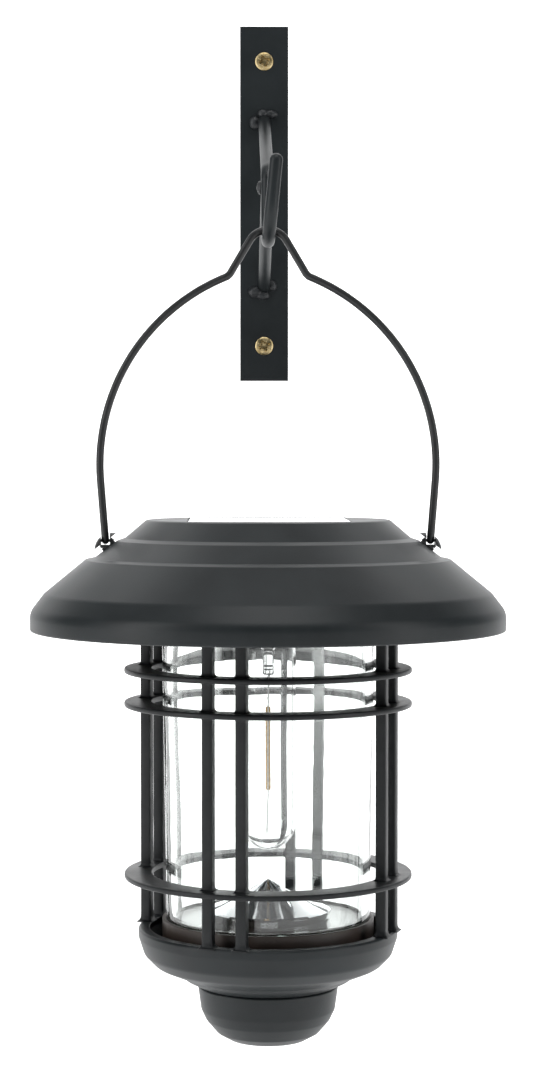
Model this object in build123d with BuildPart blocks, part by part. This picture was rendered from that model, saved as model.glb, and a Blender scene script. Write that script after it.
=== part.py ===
from build123d import *
import math
import os

# Hanging solar lantern on a wall bracket. Millimetres, +Z up, front towards -Y.
# The origin is the middle of the wall plate's back face. The lantern's axis is the
# vertical line x = 0, y = -STANDOFF, and its heights are given as depths below the cap's top.

os.makedirs("parts", exist_ok=True)

STANDOFF = 100.0
CAP_TOP = -128.9

# wall plate and its screws
PLATE_WIDTH, PLATE_THICK, PLATE_HEIGHT = 20.0, 3.0, 147.0
SCREW_PITCH = 118.0
SCREW_HEAD_R, SCREW_HOLE_R, SCREW_NECK_R, SCREW_THREAD_R = 3.75, 2.4, 2.2, 2.0
SCREW_LENGTH = 28.0

# bracket rods
ROD_R = 2.5
BRACE_HALF, BRACE_CORNER, BRACE_BEND = 35.0, 92.4, 6.0
HOOK_R, HOOK_LEAN, HOOK_BACK, HOOK_TIP = 13.0, 5.5, 12.0, 16.0
BEAD_R = 2.5

# bail wire: a tight loop at the top, a straight shoulder, and one large arc each side
WIRE_R = 1.45
LOOP_TOP, LOOP_R, SHOULDER_ANGLE = -19.9, 8.0, 59.4
BOW_R, BOW_X, BOW_Z, BOW_START = 76.2, 63.4, -108.2, 21.2
KINK_R = 4.0
PIVOT_X, PIVOT_Z = 61.4, -136.75
HANG_GAP = 0.3
PIN_R, PIN_CLEARANCE = 0.6, 0.05

# cap
CAP_R, CAP_WALL = 89.7, 1.6
PANEL_SIDE, PANEL_DEPTH = 60.0, 3.0
POST_R, POST_DEPTH, POST_TILT = 60.0, 10.13, 37.0
POST_HOLE_R = 2.75
BASE_TOP, BASE_THICK, BASE_R = 37.5, 1.9, 87.6
COLUMN_AT = 62.0

# battery bay in the back of the cap
CELL_R, CELL_LENGTH, CELL_Y, CELL_DEPTH = 7.1, 49.0, 66.3, 28.9

DOOR_LONG, DOOR_WIDE, DOOR_SCREW_Y = 57.4, 17.4, 54.8
BOARD_DEPTH = 12.0
CELL_PITCH_X, CELL_PITCH_Y = 14.2, 28.4
SWITCH_AT, SWITCH_TRAVEL = 70.0, 3.0

# lamp
SOCKET_TOP, BULB_CAP_R, BULB_TOP, STEM_END = 31.0, 9.4, 46.0, 58.6
SOCKET_R, BULB_R, BULB_WALL, BULB_END = 13.0, 10.6, 0.8, 124.9
FILAMENT_TOP, FILAMENT_END = 70.7, 102.4

# jar
JAR_TOP, JAR_BOTTOM, JAR_TOP_R, JAR_BOTTOM_R, JAR_WALL = 42.0, 155.0, 40.2, 38.5, 3.0
JAR_FLOOR = 150.8
COLLAR_R, COLLAR_TOP, COLLAR_END = 40.1, 150.5, 160.0
REFLECTOR_R, REFLECTOR_RIM, REFLECTOR_PEAK, FACETS = 24.0, 147.2, 136.1, 24

# cage
BAR, BAR_AT, PAIR_OFFSET, PAIR_TURN = 4.0, 47.3, 6.45, -20.3
RING_IN, RING_OUT, RING_THICK = 44.0, 54.4, 2.0
RING_DEPTHS = {"upper_ring": 56.6, "middle_ring": 69.3, "lower_ring": 134.1}
FLANGE_TOP, FLANGE_THICK, FLANGE_IN, FLANGE_OUT = 39.4, 2.4, 42.6, 52.0
FOOT, FOOT_TALL, FOOT_TAPER = 5.4, 1.5, 25.0
CAGE_SCREW_AT, CAGE_SCREW_TURN = 48.0, 24.7
BOWL_TOP, BOWL_END = 153.9, 176.0
SPIGOT_R, SPIGOT_END, LUG_TOP, LUG_TALL = 20.0, 184.0, 180.0, 2.4
FINIAL_END = 197.7

AXIS = Axis((0, -STANDOFF, 0), (0, 0, 1))
SECTION = Plane.XZ.offset(STANDOFF)


def level(depth):
    """Horizontal plane on the lantern's axis at a depth below the cap's top."""
    return Plane((0, -STANDOFF, CAP_TOP - depth))


def outline(*corners):
    """Section corners given as (radius, depth), turned into sketch points."""
    return [(radius, CAP_TOP - depth) for radius, depth in corners]


def finish(piece, name):
    """Names a piece and writes it."""
    piece.part.label = name
    export_step(piece.part, f"parts/{name}.step")


# ---- bracket ---------------------------------------------------------------

with BuildPart() as wall_plate:
    with BuildSketch(Plane.XZ):
        Rectangle(PLATE_WIDTH, PLATE_HEIGHT)
    extrude(amount=PLATE_THICK)
    chamfer(wall_plate.faces().sort_by(Axis.Y)[0].edges(), 0.4)
    with Locations(Plane.XZ.offset(PLATE_THICK)):
        with GridLocations(1, SCREW_PITCH, 1, 2):
            CounterSinkHole(SCREW_HOLE_R, SCREW_HEAD_R + 0.05, counter_sink_angle=90)
finish(wall_plate, "wall_plate")

# One screw is turned about the lower hole's axis, then repeated at the upper hole.
# The neck fills the plate, and the thread starts at the wall.
with BuildPart() as wall_screws:
    for z in (-SCREW_PITCH / 2, SCREW_PITCH / 2):
        with BuildSketch(Plane.XY.offset(z)):
            Polygon(
                (0, -PLATE_THICK - 0.9),
                (1.6, -PLATE_THICK - 0.75),
                (3.0, -PLATE_THICK - 0.4),
                (SCREW_HEAD_R, -PLATE_THICK + 0.05),
                (SCREW_NECK_R, -PLATE_THICK + 0.05 + SCREW_HEAD_R - SCREW_NECK_R),
                (SCREW_NECK_R, 0),
                (SCREW_THREAD_R, 0),
                (SCREW_THREAD_R, SCREW_LENGTH - 5),
                (0, SCREW_LENGTH),
                align=None,
            )
        revolve(axis=Axis((0, 0, z), (0, 1, 0)))
        with Locations((0, -PLATE_THICK - 0.9, z)):
            Box(4.4, 3.2, 0.9, mode=Mode.SUBTRACT)
            Box(0.9, 3.2, 4.4, mode=Mode.SUBTRACT)
finish(wall_screws, "wall_screws")

# The brace is one rod bent into a V lying on its side, with both ends on the plate.
with BuildPart() as brace_rod:
    with BuildLine(Plane.YZ) as brace_path:
        FilletPolyline(
            (1.5 - PLATE_THICK, BRACE_HALF),
            (-BRACE_CORNER, 0),
            (1.5 - PLATE_THICK, -BRACE_HALF),
            radius=BRACE_BEND,
        )
    with BuildSketch(Plane(brace_path.line @ 0, z_dir=brace_path.line % 0)):
        Circle(ROD_R)
    sweep()
    add(wall_plate.part, mode=Mode.SUBTRACT)
finish(brace_rod, "brace_rod")

# The hook is a J. Its back leg is upright, and its front half leans to the right.
hook_z = LOOP_TOP - WIRE_R - HANG_GAP - ROD_R + HOOK_R
lean = math.radians(HOOK_LEAN)
hook_up = Vector(math.sin(lean), 0, math.cos(lean))
hook_low = Vector(0, -STANDOFF, hook_z - HOOK_R)
back_low = Vector(0, HOOK_R - STANDOFF, hook_z)
back_mid = Vector(0, -STANDOFF + HOOK_R * math.sqrt(0.5), hook_z - HOOK_R * math.sqrt(0.5))
front_middle = hook_low + hook_up * HOOK_R
front_mid = front_middle - (hook_up + Vector(0, 1, 0)) * (HOOK_R * math.sqrt(0.5))
front_low = front_middle - Vector(0, HOOK_R, 0)
hook_tip = front_low + hook_up * HOOK_TIP
with BuildPart() as hook_rod:
    with BuildLine() as hook_path:
        Line(back_low + Vector(0, 0, HOOK_BACK), back_low)
        ThreePointArc(back_low, back_mid, hook_low)
        ThreePointArc(hook_low, front_mid, front_low)
        Line(front_low, hook_tip)
    with BuildSketch(Plane(hook_path.wire() @ 0, z_dir=hook_path.wire() % 0)):
        Circle(ROD_R)
    sweep(path=hook_path.wire())
    with Locations(hook_tip):
        Sphere(ROD_R)
    add(brace_rod.part, mode=Mode.SUBTRACT)
finish(hook_rod, "hook_rod")

bead_spots = [
    (-4.1, -PLATE_THICK, BRACE_HALF - 1.5),
    (3.8, -PLATE_THICK, BRACE_HALF + 1.5),
    (-4.1, -PLATE_THICK, -BRACE_HALF - 1.5),
    (3.8, -PLATE_THICK, -BRACE_HALF + 1.5),
    (-2.9, -STANDOFF + HOOK_R + 1.2, -2.6),
    (1.9, -STANDOFF + HOOK_R + 1.4, 3.0),
]
with BuildPart() as weld_beads:
    for spot in bead_spots:
        # a sphere's seam must not cross the cut: the STEP then reads back with a wrong face
        with Locations(Location(spot, (0, 0, 180 if spot[0] < 0 else 0))):
            Sphere(BEAD_R)
    for neighbour in (wall_plate, brace_rod, hook_rod):
        add(neighbour.part, mode=Mode.SUBTRACT)
    with Locations((0, -PLATE_THICK / 2, 0)):
        Box(PLATE_WIDTH, PLATE_THICK, PLATE_HEIGHT, mode=Mode.SUBTRACT)
finish(weld_beads, "weld_beads")

# ---- bail --------------------------------------------------------------------

# The wire's centre line is worked out for the right half, then run from pivot to pivot.
# A small arc, tangent to both, joins each straight shoulder to its large arc.
shoulder = math.radians(SHOULDER_ANGLE)
loop_end = (LOOP_R * math.sin(shoulder), LOOP_TOP - LOOP_R * (1 - math.cos(shoulder)))
along = (math.cos(shoulder), -math.sin(shoulder))
outward = (math.sin(shoulder), math.cos(shoulder))
bow_x = BOW_X - BOW_R
start_x = loop_end[0] + KINK_R * outward[0] - bow_x
start_z = loop_end[1] + KINK_R * outward[1] - BOW_Z
dot = start_x * along[0] + start_z * along[1]
span = dot ** 2 - start_x ** 2 - start_z ** 2 + (BOW_R + KINK_R) ** 2
run = -dot - math.sqrt(span)
kink_start = (loop_end[0] + run * along[0], loop_end[1] + run * along[1])
kink_turn = math.atan2(start_z + run * along[1], start_x + run * along[0])
leg_x, leg_z = PIVOT_X - bow_x, PIVOT_Z - BOW_Z
end_turn = math.atan2(leg_z, leg_x) + math.acos(BOW_R / math.hypot(leg_x, leg_z))


def bow_point(turn):
    """Point on the right-hand large arc, at an angle above its widest point."""
    return (bow_x + BOW_R * math.cos(turn), BOW_Z + BOW_R * math.sin(turn))


def flip(point):
    """The same point on the left-hand side."""
    return (-point[0], point[1])


kink_end = bow_point(kink_turn)
kink_x = kink_start[0] + KINK_R * outward[0]
kink_z = kink_start[1] + KINK_R * outward[1]
chord_x = (kink_start[0] + kink_end[0]) / 2 - kink_x
chord_z = (kink_start[1] + kink_end[1]) / 2 - kink_z
chord = math.hypot(chord_x, chord_z)
kink_mid = (kink_x + KINK_R * chord_x / chord, kink_z + KINK_R * chord_z / chord)
bow_mid = bow_point((kink_turn + end_turn) / 2)
bow_end = bow_point(end_turn)
pivot = (PIVOT_X, PIVOT_Z)

with BuildPart() as bail_wire:
    with BuildLine(SECTION) as bail_path:
        Line(flip(pivot), flip(bow_end))
        ThreePointArc(flip(bow_end), flip(bow_mid), flip(kink_end))
        ThreePointArc(flip(kink_end), flip(kink_mid), flip(kink_start))
        Line(flip(kink_start), flip(loop_end))
        ThreePointArc(flip(loop_end), (0, LOOP_TOP), loop_end)
        Line(loop_end, kink_start)
        ThreePointArc(kink_start, kink_mid, kink_end)
        ThreePointArc(kink_end, bow_mid, bow_end)
        Line(bow_end, pivot)
    with BuildSketch(Plane(bail_path.wire() @ 0, z_dir=bail_path.wire() % 0)):
        Circle(WIRE_R)
    sweep(path=bail_path.wire())
    with Locations((-PIVOT_X, -STANDOFF, PIVOT_Z), (PIVOT_X, -STANDOFF, PIVOT_Z)):
        Sphere(WIRE_R)
    for side in (-1, 1):
        with Locations(Location((side * PIVOT_X, -STANDOFF, PIVOT_Z), (0, 90, 0))):
            Cylinder(PIN_R + PIN_CLEARANCE, 6, mode=Mode.SUBTRACT)
finish(bail_wire, "bail_wire")

# ---- cap -----------------------------------------------------------------------

# (radius, depth) of each outside corner, and the blend rounding it
cap_corners = [
    (45.9, 0, 2.2),
    (53.9, 6.8, 1.6),
    (56.9, 7.8, 1.2),
    (65.4, 14.2, 1.6),
    (68.9, 14.9, 1.2),
    (84.4, 27.6, 7.0),
    (CAP_R, 34.5, 6.0),
]

with BuildPart() as cap_blank:
    with BuildSketch(SECTION) as cap_section:
        sides = [(radius, depth) for radius, depth, blend in cap_corners]
        Polygon(*outline((0, 0), *sides, (CAP_R, 41.5), (0, 41.5)), align=None)
        rim = Vector(CAP_R, CAP_TOP - 41.5, 0)
        fillet(cap_section.sketch_local.vertices().sort_by_distance(rim)[0], 1.5)
        for radius, depth, blend in cap_corners:
            corner = Vector(radius, CAP_TOP - depth, 0)
            fillet(cap_section.sketch_local.vertices().sort_by_distance(corner)[0], blend)
    revolve(axis=AXIS)

with BuildPart() as cap_shell:
    add(cap_blank.part)
    with BuildSketch(SECTION) as hollow:
        Polygon(*outline((-30, 0), *sides, (CAP_R, 60), (-30, 60)), align=None)
        for radius, depth, blend in cap_corners:
            corner = Vector(radius, CAP_TOP - depth, 0)
            fillet(hollow.sketch_local.vertices().sort_by_distance(corner)[0], blend)
        offset(amount=-CAP_WALL, kind=Kind.ARC, mode=Mode.REPLACE)
        with Locations((-50, CAP_TOP - 30)):
            Rectangle(100, 100, mode=Mode.SUBTRACT)
    revolve(axis=AXIS, mode=Mode.SUBTRACT)
    # tray under the solar panel, with stand-offs for the circuit board
    with BuildSketch(level(1.0)):
        Rectangle(PANEL_SIDE + 3.8, PANEL_SIDE + 3.8)
    extrude(amount=-(PANEL_DEPTH + 0.6))
    with BuildSketch(level(PANEL_DEPTH + 1.6)):
        with GridLocations(32, 20, 2, 2):
            Circle(2.0)
    extrude(amount=-(BOARD_DEPTH - PANEL_DEPTH - 1.6))
    with BuildSketch(level(0)):
        Rectangle(PANEL_SIDE + 0.6, PANEL_SIDE + 0.6)
    extrude(amount=-PANEL_DEPTH, mode=Mode.SUBTRACT)
    with BuildSketch(level(PANEL_DEPTH)):
        with Locations((0, 8)):
            Rectangle(6, 3)
    extrude(amount=-1.6, mode=Mode.SUBTRACT)
    for side, turn in ((1, 1), (-1, -1)):
        tilt = math.radians(POST_TILT)
        post_axis = Plane(
            (side * POST_R, -STANDOFF, CAP_TOP - POST_DEPTH),
            x_dir=(0, 1, 0),
            z_dir=(side * math.sin(tilt), 0, math.cos(tilt)),
        )
        with BuildSketch(post_axis):
            Circle(POST_HOLE_R)
        extrude(amount=6, both=True, mode=Mode.SUBTRACT)

# Screw columns stand between the roof and the base plate.
with BuildPart() as columns:
    with BuildSketch(level(BASE_TOP)):
        with PolarLocations(COLUMN_AT, 4, start_angle=45):
            Circle(3.5)
    extrude(amount=BASE_TOP - 8)
    add(cap_blank.part, mode=Mode.INTERSECT)
    with BuildSketch(level(BASE_TOP)):
        with PolarLocations(COLUMN_AT, 4, start_angle=45):
            Circle(1.2)
    extrude(amount=9, mode=Mode.SUBTRACT)
with BuildPart() as cap:
    add(cap_shell.part)
    add(columns.part)
finish(cap, "cap_shell")

# ---- solar panel ------------------------------------------------------------------

with BuildPart() as panel_glass:
    with BuildSketch(level(0)):
        Rectangle(PANEL_SIDE, PANEL_SIDE)
    extrude(amount=-1.2)
    chamfer(panel_glass.faces().sort_by(Axis.Z)[-1].edges(), 0.3)
finish(panel_glass, "panel_glass")

with BuildPart() as solar_cells:
    with BuildSketch(level(1.2)):
        with GridLocations(CELL_PITCH_X, CELL_PITCH_Y, 4, 2):
            Rectangle(CELL_PITCH_X - 1.0, CELL_PITCH_Y - 1.0)
    extrude(amount=-0.4)
finish(solar_cells, "solar_cells")

with BuildPart() as panel_backing:
    with BuildSketch(level(1.2)):
        Rectangle(PANEL_SIDE, PANEL_SIDE)
    extrude(amount=-(PANEL_DEPTH - 1.2))
    add(solar_cells.part, mode=Mode.SUBTRACT)
finish(panel_backing, "panel_backing")

# ---- bail posts ---------------------------------------------------------------------

for side, word in ((-1, "left"), (1, "right")):
    tilt = math.radians(POST_TILT)
    post_plane = Plane(
        (side * POST_R, -STANDOFF, CAP_TOP - POST_DEPTH),
        x_dir=(side * math.cos(tilt), 0, -math.sin(tilt)),
        z_dir=(0, -side, 0),
    )
    with BuildPart() as bail_post:
        with BuildSketch(post_plane):
            with BuildLine():
                Polyline(
                    (0, -4.0),
                    (2.3, -4.0),
                    (3.3, -1.75),
                    (2.6, -1.75),
                    (2.6, 0),
                    (2.9, 0),
                    (2.9, 0.9),
                    (2.5, 0.9),
                    (2.5, 1.2),
                    (2.9, 1.2),
                    (2.9, 2.1),
                    (2.6, 2.1),
                    (2.6, 2.4),
                    (5.2, 2.4),
                )
                ThreePointArc((5.2, 2.4), (2.7, 4.29), (0, 4.9))
                Line((0, 4.9), (0, -4.0))
            make_face()
        revolve(axis=Axis(post_plane.origin, post_plane.y_dir))
        with Locations((side * PIVOT_X, -STANDOFF, PIVOT_Z - WIRE_R - 0.2)):
            Box(3.6, 14, 12, align=(Align.CENTER, Align.CENTER, Align.MIN), mode=Mode.SUBTRACT)
        with Locations(Location((side * PIVOT_X, -STANDOFF, PIVOT_Z), (0, 90, 0))):
            Cylinder(PIN_R, 20, mode=Mode.SUBTRACT)
    finish(bail_post, f"bail_post_{word}")

with BuildPart() as bail_pins:
    for side in (-1, 1):
        with Locations(Location((side * 61.2, -STANDOFF, PIVOT_Z), (0, 90, 0))):
            Cylinder(PIN_R, 6.0)
finish(bail_pins, "bail_pins")

# ---- base plate, switch and battery bay -----------------------------------------------

with BuildPart() as base_plate:
    with BuildSketch(level(BASE_TOP)):
        Circle(BASE_R)
        Circle(SOCKET_R, mode=Mode.SUBTRACT)
        with Locations((0, CELL_Y)):
            Rectangle(DOOR_LONG + 0.6, DOOR_WIDE + 0.6, mode=Mode.SUBTRACT)
        with Locations((0, CELL_Y - DOOR_WIDE / 2)):
            Rectangle(10.6, 11.6, mode=Mode.SUBTRACT)
        with Locations((-SWITCH_AT, 0)):
            Rectangle(4.6, 8.6, mode=Mode.SUBTRACT)
        with PolarLocations(COLUMN_AT, 4, start_angle=45):
            Circle(1.25, mode=Mode.SUBTRACT)
        with PolarLocations(CAGE_SCREW_AT, 4, start_angle=CAGE_SCREW_TURN):
            Circle(1.25, mode=Mode.SUBTRACT)
    extrude(amount=-BASE_THICK)
finish(base_plate, "base_plate")

with BuildPart() as base_plate_screws:
    with BuildSketch(level(BASE_TOP + BASE_THICK)):
        with PolarLocations(COLUMN_AT, 4, start_angle=45):
            Circle(2.6)
    extrude(amount=-1.4)
    fillet(base_plate_screws.faces().sort_by(Axis.Z)[0:4].edges(), 0.5)
    with BuildSketch(level(BASE_TOP + BASE_THICK)):
        with PolarLocations(COLUMN_AT, 4, start_angle=45):
            Circle(1.2)
    extrude(amount=BASE_THICK + 8)
    with BuildSketch(level(BASE_TOP + BASE_THICK + 1.4)):
        with PolarLocations(COLUMN_AT, 4, start_angle=45):
            Rectangle(3.0, 0.7)
            Rectangle(0.7, 3.0)
    extrude(amount=0.7, mode=Mode.SUBTRACT)
finish(base_plate_screws, "base_plate_screws")

with BuildPart() as battery_door:
    with BuildSketch(level(BASE_TOP)):
        with Locations((0, CELL_Y)):
            Rectangle(DOOR_LONG, DOOR_WIDE)
        with Locations((0, CELL_Y - DOOR_WIDE / 2)):
            Rectangle(10.0, 11.0)
        with Locations((0, DOOR_SCREW_Y)):
            Circle(1.15, mode=Mode.SUBTRACT)
    extrude(amount=-BASE_THICK)
    with BuildSketch(level(BASE_TOP + BASE_THICK)):
        with Locations((0, CELL_Y + 2)):
            with GridLocations(1, 2.4, 1, 4):
                Rectangle(24, 0.8)
    extrude(amount=0.5, mode=Mode.SUBTRACT)
finish(battery_door, "battery_door")

with BuildPart() as battery_door_screw:
    with BuildSketch(level(BASE_TOP + BASE_THICK)):
        with Locations((0, DOOR_SCREW_Y)):
            Circle(2.1)
    extrude(amount=-1.2)
    fillet(battery_door_screw.edges().sort_by(Axis.Z)[0], 0.5)
    with BuildSketch(level(BASE_TOP + BASE_THICK)):
        with Locations((0, DOOR_SCREW_Y)):
            Circle(1.1)
    extrude(amount=BASE_THICK + 5)
    with BuildSketch(level(BASE_TOP + BASE_THICK + 1.2)):
        with Locations((0, DOOR_SCREW_Y)):
            Rectangle(2.6, 0.6)
            Rectangle(0.6, 2.6)
    extrude(amount=0.6, mode=Mode.SUBTRACT)
finish(battery_door_screw, "battery_door_screw")

# The cell lies in a cradle along X, under two arches.
cell_y = CELL_Y - STANDOFF
cell_z = CAP_TOP - CELL_DEPTH
with BuildPart() as battery_holder:
    with BuildSketch(level(CELL_DEPTH)):
        with Locations((0, CELL_Y)):
            Rectangle(60.0, 2 * CELL_R + 2.0)
            Rectangle(58.0, 2 * CELL_R, mode=Mode.SUBTRACT)
        with Locations((0, DOOR_SCREW_Y)):
            Circle(3.5)
            Circle(1.15, mode=Mode.SUBTRACT)
    extrude(amount=-(BASE_TOP - CELL_DEPTH))
    for x in (-12.0, 12.0):
        with BuildSketch(Plane.YZ.offset(x - 1.5)):
            with Locations((cell_y, cell_z)):
                Circle(CELL_R + 1.0)
                Circle(CELL_R, mode=Mode.SUBTRACT)
                with Locations((0, -10)):
                    Rectangle(30, 20, mode=Mode.SUBTRACT)
        extrude(amount=3)
finish(battery_holder, "battery_holder")

with BuildPart() as battery_cell:
    with BuildSketch(Plane.YZ.offset(-24)):
        with Locations((cell_y, cell_z)):
            Circle(CELL_R)
    extrude(amount=CELL_LENGTH)
    fillet(battery_cell.edges(), 0.6)
    with BuildSketch(Plane.YZ.offset(-24 + CELL_LENGTH)):
        with Locations((cell_y, cell_z)):
            Circle(2.7)
    extrude(amount=1.2)
finish(battery_cell, "battery_cell")

with BuildPart() as battery_contact:
    with BuildSketch(Plane.YZ.offset(28.6)):
        with Locations((cell_y, cell_z)):
            Rectangle(10, 10)
    extrude(amount=0.4)
    with BuildSketch(Plane.YZ.offset(-24 + CELL_LENGTH + 1.2)):
        with Locations((cell_y, cell_z)):
            Circle(1.6)
    extrude(amount=28.6 + 24 - CELL_LENGTH - 1.2)
finish(battery_contact, "battery_contact")

with BuildPart() as battery_spring:
    with BuildSketch(Plane.YZ.offset(-29.0)):
        with Locations((cell_y, cell_z)):
            Rectangle(10, 10)
    extrude(amount=0.4)
    with BuildLine() as coil:
        Helix(1.3, 3.9, 3.6, center=(-28.2, cell_y, cell_z), direction=(1, 0, 0))
    with BuildSketch(Plane(coil.line @ 0, z_dir=coil.line % 0)):
        Circle(0.35)
    sweep(is_frenet=True)
finish(battery_spring, "battery_spring")

with BuildPart() as switch_body:
    with BuildSketch(level(BASE_TOP)):
        with Locations((-SWITCH_AT, 0)):
            Rectangle(9.6, 13.6)
    extrude(amount=5.5)
    with BuildSketch(level(BASE_TOP)):
        with Locations((-SWITCH_AT, 0)):
            Rectangle(6.6, 10.6)
    extrude(amount=3.8, mode=Mode.SUBTRACT)
finish(switch_body, "switch_body")

with BuildPart() as switch_slider:
    with BuildSketch(level(BASE_TOP - 0.3)):
        with Locations((-SWITCH_AT, -SWITCH_TRAVEL / 2)):
            Rectangle(6.0, 7.0)
    extrude(amount=3.2)
    with BuildSketch(level(BASE_TOP - 0.3)):
        with Locations((-SWITCH_AT, -SWITCH_TRAVEL / 2)):
            Rectangle(4.0, 5.0)
    extrude(amount=-(BASE_THICK + 0.3 + 1.5))
    with BuildSketch(level(BASE_TOP + BASE_THICK + 1.5)):
        with Locations((-SWITCH_AT, -SWITCH_TRAVEL / 2)):
            with GridLocations(1, 1.4, 1, 3):
                Rectangle(6, 0.6)
    extrude(amount=0.5, mode=Mode.SUBTRACT)
finish(switch_slider, "switch_slider")

# ---- circuit board and leads --------------------------------------------------------------

with BuildPart() as circuit_board:
    with BuildSketch(level(BOARD_DEPTH)):
        Rectangle(40, 28)
    extrude(amount=-1.6)
finish(circuit_board, "circuit_board")

with BuildPart() as board_components:
    with BuildSketch(level(BOARD_DEPTH + 1.6)):
        with Locations((-8, 5)):
            Rectangle(5, 4)
        with Locations((-8, -6), (12, 0)):
            Rectangle(3.2, 1.6)
    extrude(amount=-1.5)
    with BuildSketch(level(BOARD_DEPTH + 1.6)):
        with Locations((8, -8)):
            Circle(3.0)
        with Locations((9, 8)):
            Circle(2.5)
    extrude(amount=-7)
finish(board_components, "board_components")

lead_runs = {
    "panel_leads": [
        [(-1.5, 8, PANEL_DEPTH), (-1.5, 8, BOARD_DEPTH)],
        [(1.5, 8, PANEL_DEPTH), (1.5, 8, BOARD_DEPTH)],
    ],
    "lamp_leads": [
        [(-3, 0, BOARD_DEPTH + 1.6), (-3, 0, SOCKET_TOP)],
        [(3, 0, BOARD_DEPTH + 1.6), (3, 0, SOCKET_TOP)],
    ],
    "battery_leads": [
        [(-28.8, CELL_Y, CELL_DEPTH - 5), (-26, 45, 20), (-14, 12, 19), (-14, 12, BOARD_DEPTH + 1.6)],
        [(28.8, CELL_Y, CELL_DEPTH - 5), (26, 45, 20), (16, 12, 19), (16, 12, BOARD_DEPTH + 1.6)],
    ],
    "switch_leads": [
        [(-SWITCH_AT, -2, BASE_TOP - 5.5), (-SWITCH_AT, -2, 28), (-18, -2, 20), (-18, -2, BOARD_DEPTH + 1.6)],
        [(-SWITCH_AT, 2, BASE_TOP - 5.5), (-SWITCH_AT, 2, 28), (-18, 2, 20), (-18, 2, BOARD_DEPTH + 1.6)],
    ],
}
for name, runs in lead_runs.items():
    with BuildPart() as leads:
        for run in runs:
            stops = [(x, y - STANDOFF, CAP_TOP - depth) for x, y, depth in run]
            with BuildLine() as wire:
                if len(stops) == 2:
                    Line(*stops)
                else:
                    FilletPolyline(*stops, radius=1.2)
            with BuildSketch(Plane(wire.line @ 0, z_dir=wire.line % 0)):
                Circle(0.55)
            sweep()
        add(battery_contact.part, mode=Mode.SUBTRACT)
        add(battery_spring.part, mode=Mode.SUBTRACT)
    finish(leads, name)

# ---- lamp --------------------------------------------------------------------------------------

with BuildPart() as lamp_socket:
    with BuildSketch(SECTION):
        Polygon(
            *outline(
                (0, SOCKET_TOP),
                (SOCKET_R, SOCKET_TOP),
                (SOCKET_R, BASE_TOP - 2.0),
                (16.0, BASE_TOP - 2.0),
                (16.0, BASE_TOP),
                (SOCKET_R, BASE_TOP),
                (SOCKET_R, 44.5),
                (12.0, 45.5),
                (BULB_CAP_R, 45.5),
                (BULB_CAP_R, SOCKET_TOP + 2.0),
                (0, SOCKET_TOP + 2.0),
            ),
            align=None,
        )
    revolve(axis=AXIS)
finish(lamp_socket, "lamp_socket")

with BuildPart() as bulb_base:
    with BuildSketch(level(SOCKET_TOP + 2.0)):
        Circle(BULB_CAP_R)
    extrude(amount=-(BULB_TOP - SOCKET_TOP - 2.0))
finish(bulb_base, "bulb_base")

bulb_dome = BULB_R - BULB_WALL
with BuildPart() as bulb_envelope:
    with BuildSketch(SECTION):
        with BuildLine():
            start, end = outline((BULB_CAP_R, BULB_TOP), (BULB_R, BULB_TOP + 5.0))
            Line(start, end)
            side_end, tip = outline((BULB_R, BULB_END - BULB_R), (0, BULB_END))
            Line(end, side_end)
            RadiusArc(side_end, tip, BULB_R)
            inner_tip, inner_side = outline((0, BULB_END - BULB_WALL), (bulb_dome, BULB_END - BULB_R))
            Line(tip, inner_tip)
            RadiusArc(inner_tip, inner_side, -bulb_dome)
            inner_end, lip = outline((bulb_dome, BULB_TOP + 5.0), (BULB_CAP_R - BULB_WALL, BULB_TOP))
            Line(inner_side, inner_end)
            Line(inner_end, lip)
            Line(lip, start)
        make_face()
    revolve(axis=AXIS)
finish(bulb_envelope, "bulb_envelope")

with BuildPart() as bulb_stem:
    with BuildSketch(SECTION):
        Polygon(
            *outline((0, BULB_TOP), (5.0, BULB_TOP), (2.4, BULB_TOP + 6), (2.1, STEM_END), (0, STEM_END)),
            align=None,
        )
    revolve(axis=AXIS)
    fillet(bulb_stem.edges().sort_by(Axis.Z)[0], 0.8)
finish(bulb_stem, "bulb_stem")

with BuildPart() as led_filament:
    with BuildSketch(level(FILAMENT_TOP)):
        SlotOverall(1.9, 1.5)
    extrude(amount=-(FILAMENT_END - FILAMENT_TOP))
finish(led_filament, "led_filament")

# One wire holds the filament's top, and the other passes in front of it to its lower end.
loop_end_depth = FILAMENT_END + 16.2
wire_runs = [
    [(0, 0, STEM_END - 3), (0, 0, FILAMENT_TOP)],
    [
        (0, -1.0, STEM_END - 3),
        (0, -1.8, STEM_END + 5),
        (0, -1.8, FILAMENT_END + 8),
        (0, -1.0, loop_end_depth - 0.8),
        (0, 0, loop_end_depth),
        (0, 0, FILAMENT_END),
    ],
]
with BuildPart() as filament_wires:
    for run in wire_runs:
        stops = [(x, y - STANDOFF, CAP_TOP - depth) for x, y, depth in run]
        with BuildLine() as wire:
            if len(stops) == 2:
                Line(*stops)
            else:
                Polyline(*stops)
        with BuildSketch(Plane(wire.line @ 0, z_dir=wire.line % 0)):
            Circle(0.22)
        sweep(transition=Transition.ROUND)
    add(bulb_stem.part, mode=Mode.SUBTRACT)
    add(led_filament.part, mode=Mode.SUBTRACT)
finish(filament_wires, "filament_wires")

# ---- jar and what holds it -------------------------------------------------------------------------

with BuildPart() as jar_gasket:
    with BuildSketch(level(BASE_TOP + BASE_THICK)):
        Circle(41.0)
        Circle(36.5, mode=Mode.SUBTRACT)
    extrude(amount=-(JAR_TOP - BASE_TOP - BASE_THICK))
finish(jar_gasket, "jar_gasket")

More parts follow.
